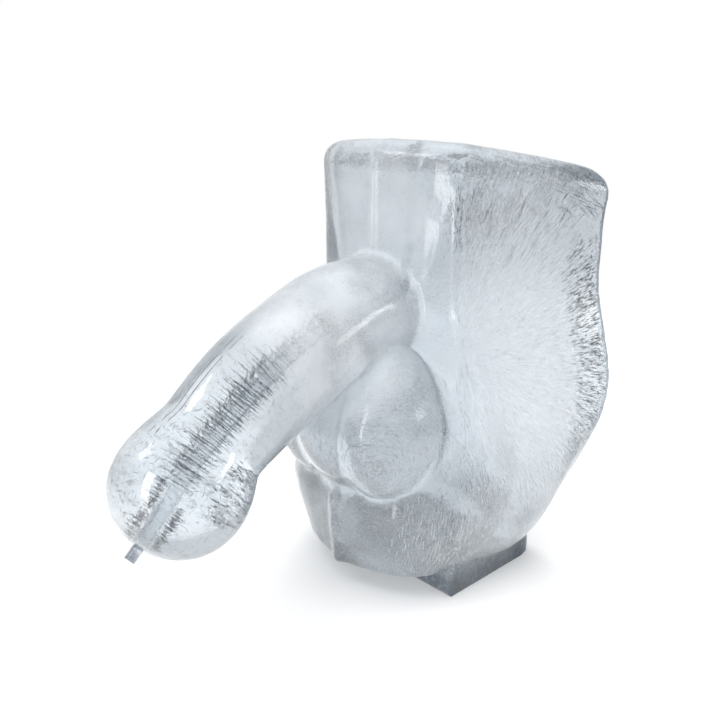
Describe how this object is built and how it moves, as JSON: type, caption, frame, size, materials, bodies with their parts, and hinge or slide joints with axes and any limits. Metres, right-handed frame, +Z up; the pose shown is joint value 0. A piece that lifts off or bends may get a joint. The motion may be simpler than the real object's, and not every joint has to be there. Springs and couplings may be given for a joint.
{
  "type": "ice luge",
  "caption": "Clear ice luge in the form of a male torso on a low foot; drink poured into the well in its top runs through a frozen-in hose and out at the tip of the spout.",
  "frame": {"origin": "middle of the foot's flat underside, on the table", "axes": "+Z up, -Y the front that the spout points to, +X the figure's left; X = 0 is the plane of symmetry"},
  "size_m": [0.3952, 0.5078, 0.5073],
  "materials": {
    "ice": "wet clear ice with fine trapped-air streaks and milky patches",
    "hose": "clear flexible PVC"
  },
  "bodies": {
    "root": {"ice_casting": "ice", "drink_hose": "hose"}
  },
  "joints": []
}
